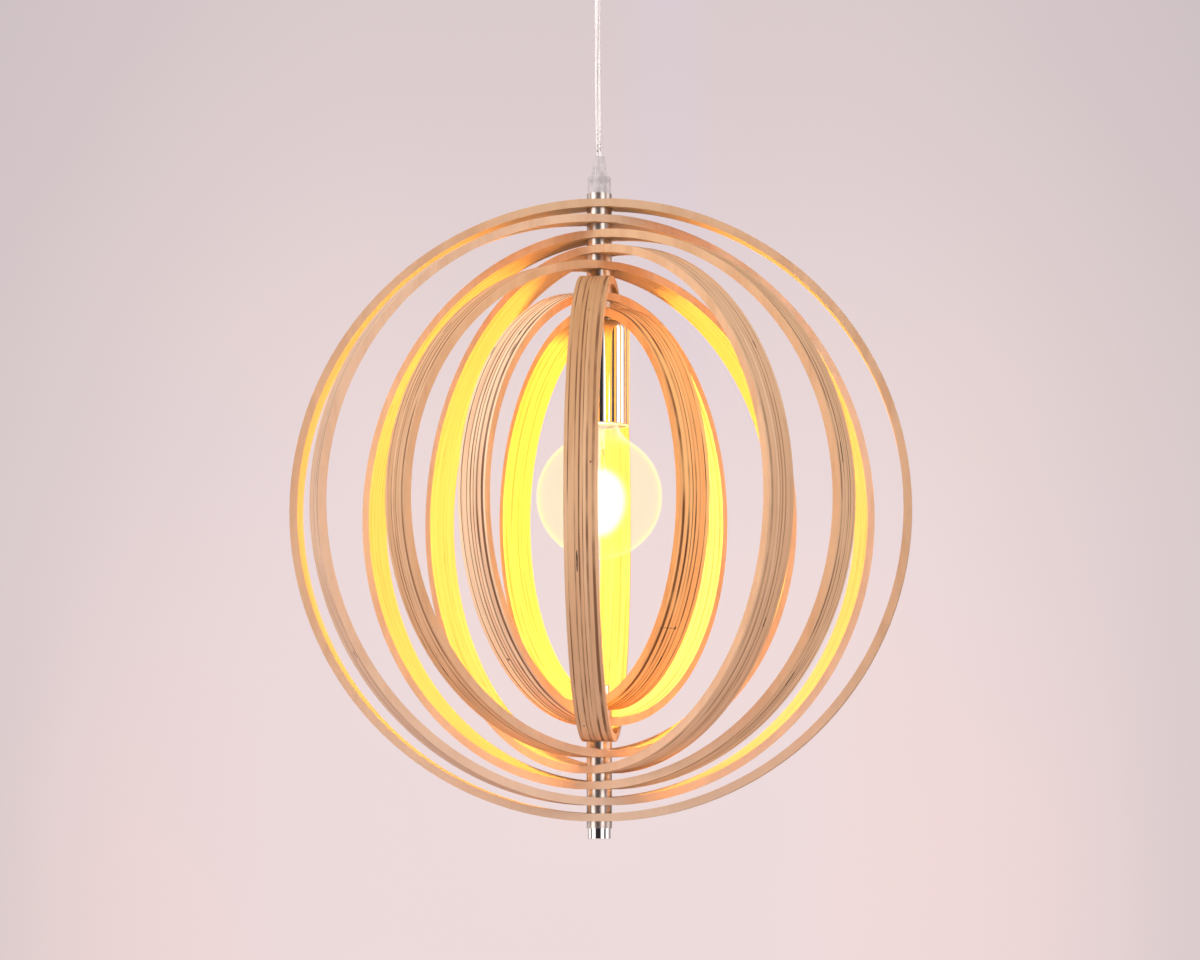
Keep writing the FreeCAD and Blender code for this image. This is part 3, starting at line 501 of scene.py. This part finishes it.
def stranded(name):
    """Tinned strands that show through a core's clear insulation, with dark flecks near the lamp."""
    material, start = new_material(name)
    place, x, y, z = object_place(start)
    lamp_end = CABLE_ROUTE[0][2]
    lay = noise(vector(x * 900, y * 900, z * 500), 1.0, 3.0)
    fleck = noise(vector(x * 900, y * 900, z * 620), 1.0, 2.0)
    near_lamp = 1 - z.ramp(lamp_end + 0.008, lamp_end + 0.03)
    tinned = mixed((0.99, 0.98, 0.97), (0.88, 0.86, 0.86), lay.ramp(0.45, 0.7))
    colour = mixed(tinned, (0.10, 0.07, 0.07), fleck.ramp(0.58, 0.62) * near_lamp)
    finish_with(start, principled(start, Base_Color=colour, Metallic=0.15, Roughness=0.3 + lay * 0.2))
    return material


# Bulb
def bulb_glass(name):
    """Clear glass full of the filament's light: a thin warm veil that thickens at the edges."""
    material, start = new_material(name)
    place, x, y, z = object_place(start)
    smear = noise(place, 30.0, 2.0)
    edge = edge_on(start)
    # Painted refraction at the neck: the veil turns beige there and is thicker at its edges
    neck = z.ramp(GLOBE_CENTRE + 0.036, GLOBE_CENTRE + 0.048)
    rim = edge.ramp(0.5, 0.95) * 0.08 + neck * edge.ramp(0.3, 0.8) * 0.3
    veil = 0.062 + smear.ramp(0.4, 0.7) * 0.02 + rim
    light = mixed((1.0, 0.86, 0.18), (0.80, 0.66, 0.44), neck)
    finish_with(
        start,
        principled(start, Base_Color=(0, 0, 0, 1), Roughness=0.02 + smear * 0.02, Alpha=veil,
                   Emission_Color=light, Emission_Strength=1.38),
    )
    return material


def mount_glass(name):
    """The bulb's inner stem, which catches the filament's light along its sides."""
    material, start = new_material(name)
    swirl = noise(object_place(start)[0], 90.0, 2.0)
    veil = 0.16 + swirl.ramp(0.4, 0.65) * 0.3 + edge_on(start).ramp(0.3, 0.9) * 0.4
    finish_with(
        start,
        principled(start, Base_Color=(0, 0, 0, 1), Roughness=0.05 + swirl * 0.05, Alpha=veil,
                   Emission_Color=(1.0, 0.95, 0.72, 1), Emission_Strength=1.0),
    )
    return material


def glow(name):
    """Light that is white and solid in the middle, and thins out to yellow towards the edge."""
    material, start = new_material(name)
    edge = edge_on(start)
    colour = mixed((1.0, 0.97, 0.80), (1.0, 0.85, 0.25), edge.ramp(0.12, 0.4))
    light = start.node("ShaderNodeEmission", None, {"Color": colour, "Strength": 2.0})
    clear = start.node("ShaderNodeBsdfTransparent")
    share = (1 - edge.ramp(0.0, 0.6)) ** 2.1
    finish_with(start, start.node("ShaderNodeMixShader", None, {0: share, 1: clear, 2: light}))
    return material


def hot_wire(name):
    """The glowing filament, a little hotter in places."""
    material, start = new_material(name)
    heat = noise(object_place(start)[0], 300.0, 2.0)
    colour = mixed((1.0, 0.78, 0.38), (1.0, 0.62, 0.2), heat)
    finish_with(start, start.node("ShaderNodeEmission", None, {"Color": colour, "Strength": 30.0}))
    return material


def pale_floor(name):
    material, start = new_material(name)
    cloud = noise(object_place(start)[0], 3.0, 3.0)
    colour = mixed((0.80, 0.70, 0.70), (0.77, 0.67, 0.67), cloud)
    finish_with(start, principled(start, Base_Color=colour, Roughness=0.8))
    return material


# Meshes
def put(name, data, place=(0, 0, 0)):
    """A new object in the scene, holding a mesh, a curve, a light or a camera."""
    thing = bpy.data.objects.new(name, data)
    bpy.context.scene.collection.objects.link(thing)
    thing.location = place
    return thing


def new_piece(name, mesh, material, body):
    piece = put(name, mesh)
    mesh.materials.clear()
    mesh.materials.append(material)
    if body:
        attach(piece, body)
    return piece


def lathe(name, outline, material, body, steps):
    """A closed outline of (radius, height) points turned about Z. Points on the axis become poles."""
    on_axis = 1e-7
    shape = bmesh.new()
    points = [shape.verts.new((radius, 0, height)) for radius, height in outline]
    ends = zip(points, points[1:] + points[:1])
    edges = [shape.edges.new(pair) for pair in ends if max(pair[0].co.x, pair[1].co.x) > on_axis]
    bmesh.ops.spin(
        shape, geom=points + edges, axis=(0, 0, 1), cent=(0, 0, 0), angle=2 * math.pi, steps=steps
    )
    mesh = bpy.data.meshes.new(name)
    close_up(shape, mesh, 1e-6)
    return new_piece(name, mesh, material, body)


def close_up(shape, mesh, merge):
    """Merges a shape's doubles, turns its faces outwards, smooths them and writes it to a mesh."""
    bmesh.ops.remove_doubles(shape, verts=shape.verts, dist=merge)
    bmesh.ops.recalc_face_normals(shape, faces=shape.faces)
    for face in shape.faces:
        face.smooth = True
    shape.to_mesh(mesh)
    shape.free()


# Cable
def cable_line(name):
    """The cable's route as a smooth curve."""
    curve = bpy.data.curves.new(name, "CURVE")
    curve.dimensions = "3D"
    spline = curve.splines.new("NURBS")
    spline.points.add(len(CABLE_ROUTE) - 1)
    for point, place in zip(spline.points, CABLE_ROUTE):
        point.co = (*place, 1)
    spline.order_u = 3
    spline.use_endpoint_u = True
    spline.resolution_u = 24
    return put(name, curve)


def cable(sheath, strands):
    """The free cable between the two grips: a clear sheath round its cores."""
    cores = cable_cores(strands)
    piece = cable_line("cable_free")
    piece.data.bevel_depth = CABLE_DIAMETER / 2
    piece.data.bevel_resolution = 6
    piece.data.use_fill_caps = True
    piece.data.materials.append(sheath)
    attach(piece, "hanger")
    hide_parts("cable")


def cable_cores(strands):
    """The cores that show through the sheath, twisted slowly round the cable's line."""
    line = cable_line("cable_cores_line")
    values = {
        "Core count": 3, "Core radius": 0.00095, "Lay radius": 0.00135, "Turns": 0.35, "Start": 0.55,
        "Finish": strands,
    }
    mesh = grown(line, twisted_cores(), values)
    bpy.data.objects.remove(line)
    piece = new_piece("cable_cores", mesh, strands, "hanger")
    return piece


def twisted_cores():
    """Round cores that follow a curve side by side, twisted round it."""
    sizes = ("Core radius", "Lay radius", "Turns", "Start")
    tree, given = new_growth("twisted_cores", sizes, ("Core count",))
    line = given.node("GeometryNodeResampleCurve", None, {"Curve": given.out("Geometry"), "Count": 90})
    along = given.node("GeometryNodeSplineParameter")
    tilt = (along * given.out("Turns") + given.out("Start")) * (2 * math.pi)
    line = given.node("GeometryNodeSetCurveTilt", None, {"Curve": line, "Tilt": tilt})
    lay = {"Vertices": given.out("Core count"), "Radius": given.out("Lay radius")}
    places = given.node("GeometryNodeMeshCircle", None, lay)
    outline = {"Resolution": 14, "Radius": given.out("Core radius")}
    core = given.node("GeometryNodeCurvePrimitiveCircle", None, outline)
    section = given.node("GeometryNodeInstanceOnPoints", None, {"Points": places, "Instance": core})
    section = given.node("GeometryNodeRealizeInstances", None, {"Geometry": section})
    sweep = {"Curve": line, "Profile Curve": section, "Fill Caps": True}
    return finish_growth(tree, given.node("GeometryNodeCurveToMesh", None, sweep), given)


# Grown shapes
def new_growth(name, sizes, counts=()):
    """A tree that grows a shape from named counts, sizes and a finish, and the first Value of it."""
    tree = bpy.data.node_groups.new(name, "GeometryNodeTree")
    inputs = {
        "Geometry": "NodeSocketGeometry", **dict.fromkeys(counts, "NodeSocketInt"),
        **dict.fromkeys(sizes, "NodeSocketFloat"), "Finish": "NodeSocketMaterial",
    }
    for label, kind in inputs.items():
        tree.interface.new_socket(label, in_out="INPUT", socket_type=kind)
    tree.interface.new_socket("Geometry", in_out="OUTPUT", socket_type="NodeSocketGeometry")
    return tree, Value(tree).node("NodeGroupInput")


def finish_growth(tree, geometry, given):
    geometry = given.node("GeometryNodeRealizeInstances", None, {"Geometry": geometry})
    sockets = {"Geometry": geometry, "Material": given.out("Finish")}
    geometry = given.node("GeometryNodeSetMaterial", None, sockets)
    given.node("NodeGroupOutput", None, {"Geometry": geometry})
    return tree


def grown(start, tree, values):
    """The plain mesh that a tree grows on an object, with its outside faces outwards."""
    growth = start.modifiers.new(tree.name, "NODES")
    growth.node_group = tree
    for item in tree.interface.items_tree:
        if item.in_out == "INPUT" and item.name in values:
            growth[item.identifier] = values[item.name]
    depsgraph = bpy.context.evaluated_depsgraph_get()
    mesh = bpy.data.meshes.new_from_object(start.evaluated_get(depsgraph), depsgraph=depsgraph)
    start.modifiers.remove(growth)
    shape = bmesh.new()
    shape.from_mesh(mesh)
    close_up(shape, mesh, 1e-7)
    return mesh


def round_place(given):
    """A point's angle round Z and its x, y and z, for displacing a turned shape."""
    x, y, z = axes(given.node("GeometryNodeInputPosition"))
    return y.maths("ARCTAN2", y, x), x, y, z


def ridge(turns):
    """A wave with one peak a turn: 0 in the valleys and 1 on the crests."""
    return 1 - ((turns.rest() - 0.5).size() * 2)


def scaled_round(given, shape, share):
    """Moves every point towards the Z axis, to a share of its distance."""
    angle, x, y, z = round_place(given)
    sockets = {"Geometry": shape, "Position": vector(x * share, y * share, z)}
    return given.node("GeometryNodeSetPosition", None, sockets)


def moved(shape, place=(0.0, 0.0, 0.0), turn=(0.0, 0.0, 0.0)):
    """A shape turned, then shifted."""
    sockets = {"Geometry": shape, "Translation": place, "Rotation": turn}
    return shape.node("GeometryNodeTransform", None, sockets)


def joined(first, second):
    """Two shapes as one."""
    both = first.node("GeometryNodeJoinGeometry", None, {"Geometry": first})
    first.tree.links.new(second.socket, both.socket.node.inputs["Geometry"])
    return both


def rolled_thread():
    """A thin sheet sleeve with a thread rolled into it, drawn in at its top."""
    sizes = ("Radius", "Wall", "Bottom", "Top", "Pitch", "Depth", "Plain end", "Shoulder", "Waist")
    tree, given = new_growth("rolled_thread", sizes)
    radius, wall, bottom, top, pitch, depth, plain_end, shoulder, waist = [
        given.out(name) for name in sizes
    ]
    circle = {"Resolution": 96, "Radius": radius - wall / 2}
    circle = given.node("GeometryNodeCurvePrimitiveCircle", None, circle)
    section = {"Width": wall, "Height": top - bottom}
    section = given.node("GeometryNodeCurvePrimitiveQuadrilateral", None, section)
    section = given.node("GeometryNodeResampleCurve", None, {"Curve": section, "Count": 180})
    sleeve = given.node("GeometryNodeCurveToMesh", None, {"Curve": circle, "Profile Curve": section})
    sleeve = moved(sleeve, vector(0.0, 0.0, (top + bottom) / 2))
    angle, x, y, z = round_place(given)
    crest = ridge(angle / (2 * math.pi) + z / pitch)
    threaded = z.ramp(bottom + plain_end, bottom + plain_end + 0.002)
    threaded = threaded * (1 - z.ramp(shoulder - 0.003, shoulder - 0.0005))
    groove = (1 - crest).ramp(0.15, 0.85) * threaded * depth / radius
    drawn = ((z - shoulder) / (top - shoulder)).greatest(0.0)
    share = 1 - groove - drawn * (1 - waist / radius)
    return finish_growth(tree, scaled_round(given, sleeve, share), given)


def knurled_screws():
    """Two screws that point at each other along X, with diamond-knurled heads and threaded shanks."""
    sizes = (
        "Head radius", "Head length", "Knurl depth", "Shank radius", "Shank length", "Pitch", "Reach",
        "Height",
    )
    tree, given = new_growth("knurled_screws", sizes, ("Knurls",))
    radius, length, knurl_depth, shank_radius, shank_length, pitch, reach, height = [
        given.out(name) for name in sizes
    ]
    head = {"Vertices": 120, "Side Segments": 16, "Radius": radius, "Depth": length}
    head = given.node("GeometryNodeMeshCylinder", None, head)
    angle, x, y, z = round_place(given)
    turn = angle * given.out("Knurls") / 2
    slope = z * given.out("Knurls") / radius / 2
    diamond = (turn + slope).sine().size() * (turn - slope).sine().size()
    end = (z.size() * 2 / length).ramp(0.80, 1.0)
    share = 1 - (1 - diamond ** 0.6) * (1 - end) * knurl_depth / radius - end * 0.09
    head = scaled_round(given, head, share)

    shank = {"Vertices": 32, "Side Segments": 110, "Radius": shank_radius, "Depth": shank_length}
    shank = given.node("GeometryNodeMeshCylinder", None, shank)
    crest = ridge(angle / (2 * math.pi) + z / pitch)
    tip = (0 - z * 2 / shank_length).ramp(0.86, 1.0)
    shank = scaled_round(given, shank, 1 - (1 - crest) * 0.16 - tip * 0.2)
    shank = moved(shank, vector(0.0, 0.0, 0 - (shank_length + length) / 2))

    place = vector(reach + length / 2, 0.0, height)
    right = moved(joined(shank, head), place, (0.0, math.pi / 2, 0.0))
    left = moved(right, turn=(0.0, 0.0, math.pi))
    return finish_growth(tree, joined(left, right), given)


def grown_piece(name, tree, values, stands_for):
    """A still piece grown from nothing, in place of the plain node that it stands for."""
    start = put(name + "_start", bpy.data.meshes.new(name + "_start"))
    mesh = grown(start, tree, values)
    bpy.data.objects.remove(start)
    piece = new_piece(name, mesh, values["Finish"], "hanger")
    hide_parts(stands_for)


def make_threads(finishes):
    """The bulb's cap and the socket's shell, with their rolled thread."""
    thread = rolled_thread()
    hair = 0.00001  # keeps the part above the shoulder from having no height
    # Name, node and finish, then radius over the crests, plain end, height drawn in and radius at the top
    sleeves = (
        ("threaded_bulb_cap", "bulb_cap", "cap_metal", 0.0131, 0.0052, 0.0036, 0.00895),
        ("threaded_shell", "screw_shell", "brass", 0.0138, 0.0010, 0.0, 0.0138),
    )
    for name, node, finish, radius, plain_end, drawn, waist in sleeves:
        low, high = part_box(node)
        values = {
            "Radius": radius, "Wall": THREAD_SHEET, "Bottom": low[2], "Top": high[2], "Pitch": THREAD_PITCH,
            "Depth": THREAD_DEPTH, "Plain end": plain_end, "Shoulder": high[2] - drawn - hair,
            "Waist": waist, "Finish": finishes[finish],
        }
        grown_piece(name, thread, values, node)


def make_thumbscrews(finish):
    """The two knurled screws through the canopy's side."""
    low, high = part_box("canopy_thumbscrews")
    head_length = 0.0045
    values = {
        "Head radius": 0.004, "Head length": head_length, "Knurls": 24, "Knurl depth": 0.0003,
        "Shank radius": 0.002, "Shank length": 0.009, "Pitch": 0.0007, "Reach": high[0] - head_length,
        "Height": (low[2] + high[2]) / 2, "Finish": finish,
    }
    grown_piece("knurled_thumbscrews", knurled_screws(), values, "canopy_thumbscrews")


def bulb_glow(finish):
    """The glare round the filament: an upright oval, a little fuller at its top."""
    outline = []
    steps = 32
    for step in range(steps + 1):
        turn = math.pi * step / steps
        radius = GLOW_RADIUS * math.sin(turn) * (1 + GLOW_FULLNESS * math.cos(turn))
        outline.append((max(radius, 0.0), GLOW_CENTRE + GLOW_HALF_HEIGHT * math.cos(turn)))
    piece = lathe("bulb_glow", outline, finish, "hanger", 64)
    piece.visible_shadow = False


# Camera, room and lights
def look_at(thing, direction):
    thing.rotation_mode = "QUATERNION"
    thing.rotation_quaternion = direction.to_track_quat("-Z", "Y")


def make_camera():
    data = bpy.data.cameras.new("photo_camera")
    data.lens = CAMERA_LENS
    data.sensor_width = CAMERA_SENSOR
    data.clip_start = 0.05
    data.clip_end = 60.0
    camera = put("photo_camera", data, CAMERA_PLACE)
    look_at(camera, Vector(CAMERA_AIM))
    bpy.context.scene.camera = camera


def band(place, low, high, soft=3.0):
    """1 where a place or an angle is between two others, with soft sides."""
    return place.ramp(low - soft, low + soft) * (1 - place.ramp(high - soft, high + soft))


def bands(angle, rows):
    """Several bands together, each with its own strength."""
    return sum(band(angle, low, high) * strength for low, high, strength in rows)


def make_room():
    """The pale studio round the lamp: a pinkish backdrop ahead, a dark gap where the camera stands and
    tall soft panels on both sides of it, which the chrome shows as stripes."""
    world = bpy.data.worlds.new("pale_room")
    bpy.context.scene.world = world
    world.use_nodes = True
    world.node_tree.nodes.clear()
    start = Value(world.node_tree)
    heading = start.node("ShaderNodeTexCoord", None, None, 0)
    x, y, z = axes(heading)

    # The backdrop, pale at the bottom and greyer towards its top and sides
    rise = z - SIGHT_HEIGHT
    cloud = noise(heading, 7.0, 2.0)
    backdrop = mixed((0.870, 0.715, 0.700), (0.845, 0.705, 0.715), cloud.ramp(0.35, 0.65))
    backdrop = mixed(backdrop, (0.690, 0.585, 0.600), rise.ramp(-0.04, 0.17))
    backdrop = mixed(backdrop, (0.540, 0.475, 0.495), x.size().ramp(0.06, 0.22) * 0.6)
    lavender = band(x, 0.010, 0.030, 0.008) * rise.ramp(-0.01, 0.05)
    backdrop = mixed(backdrop, (0.700, 0.620, 0.720), lavender * 0.3)
    pink = (band(x, -0.16, -0.10, 0.03) + band(x, 0.07, 0.15, 0.03)) * (1 - rise.ramp(-0.10, 0.02))
    backdrop = mixed(backdrop, (0.930, 0.700, 0.690), pink * 0.35)

    # The walls, with the panels and the dark gaps between them
    angle = x.maths("ARCTAN2", x, 0 - y) * (180 / math.pi)
    walls = mixed((0.40, 0.36, 0.37), (0.80, 0.72, 0.72), z.ramp(0.5, 0.9))
    colour = mixed(walls, backdrop, angle.size().ramp(140, 166))
    level = z.ramp(-0.8, -0.55) * (1 - z.ramp(0.65, 0.85))
    colour = mixed(colour, (2.7, 2.55, 2.5), bands(angle, PANELS) * level)
    colour = mixed(colour, (0.03, 0.027, 0.03), bands(angle, DARK_GAPS) * level)
    surface = start.node("ShaderNodeBackground", None, {"Color": colour, "Strength": 1.0})
    start.node("ShaderNodeOutputWorld", None, {"Surface": surface})


def make_lights():
    """A large softbox high on the left of the camera, and the bulb's own light."""
    softbox = bpy.data.lights.new("high_softbox", "AREA")
    softbox.shape = "RECTANGLE"
    softbox.size, softbox.size_y = 1.6, 1.6
    softbox.energy = 14
    softbox.color = (1.0, 0.95, 0.92)
    place = Vector((-1.2, -1.6, 1.2))
    look_at(put("high_softbox", softbox, place), Vector((0, 0, CENTRE)) - place)

    bulb = bpy.data.lights.new("bulb_light", "POINT")
    bulb.energy = 3.2
    bulb.color = (1.0, 0.52, 0.055)
    bulb.shadow_soft_size = 0.011
    put("bulb_light", bulb, (0, 0, GLOBE_CENTRE))


def make_floor():
    half, height = 9, -2.4
    corners = [(-half, -half, height), (half, -half, height), (half, half, height), (-half, half, height)]
    mesh = bpy.data.meshes.new("floor")
    mesh.from_pydata(corners, [], [(0, 1, 2, 3)])
    floor = new_piece("floor", mesh, pale_floor("pale_floor"), None)


def dress():
    """Gives every plain node its finish, by its own name or by its material slot."""
    finishes = {
        "bright_metal": chrome("bright_metal"),
        "canopy_metal": chrome("canopy_metal", rough=0.06),
        "zinc_steel": zinc("zinc_steel"),
        "clear_plastic": clear_plastic("clear_plastic"),
        "cable_sheath": cable_sheath("cable_sheath"),
        "lead_insulation": lead_colours("lead_insulation"),
        "block_plastic": moulded("block_plastic", (0.80, 0.78, 0.72)),
        "socket_plastic": moulded("socket_plastic", (0.03, 0.03, 0.03), 0.4),
        "brass": brass("brass"),
        "bulb_glass": bulb_glass("bulb_glass"),
        "cap_metal": chrome("cap_metal", (0.72, 0.71, 0.68), 0.2),
        "cap_glass": moulded("cap_glass", (0.03, 0.025, 0.03), 0.15),
        "solder": chrome("solder", (0.6, 0.6, 0.6), 0.3),
        "bulb_wire": chrome("bulb_wire", (0.5, 0.48, 0.45), 0.25),
        "filament": hot_wire("filament"),
    }
    slots = {part["node"]: part["material_slot"] for part in frame["record"]["subparts"]}
    steel = satin_steel("satin_steel")
    for name, node in frame["nodes"].items():
        if name.startswith("ring_"):
            finish = plywood(int(name.split("_")[1]) - 1)
        elif "spacer" in name or "collar" in name:
            finish = steel
        elif name == "lampholder_cup":
            finish = cup_chrome("cup_chrome")
        elif name == "bulb_mount":
            finish = mount_glass("mount_glass")
        else:
            finish = finishes[slots[name]]
        node.data.materials.clear()
        node.data.materials.append(finish)
    frame["nodes"]["bulb_globe"].visible_shadow = False
    return finishes


make_camera()
finishes = dress()
cable(finishes["cable_sheath"], stranded("cable_strands"))
make_threads(finishes)
make_thumbscrews(finishes["bright_metal"])
bulb_glow(glow("bulb_glow"))
make_room()
make_lights()
make_floor()
bpy.context.scene.view_settings.view_transform = "Standard"
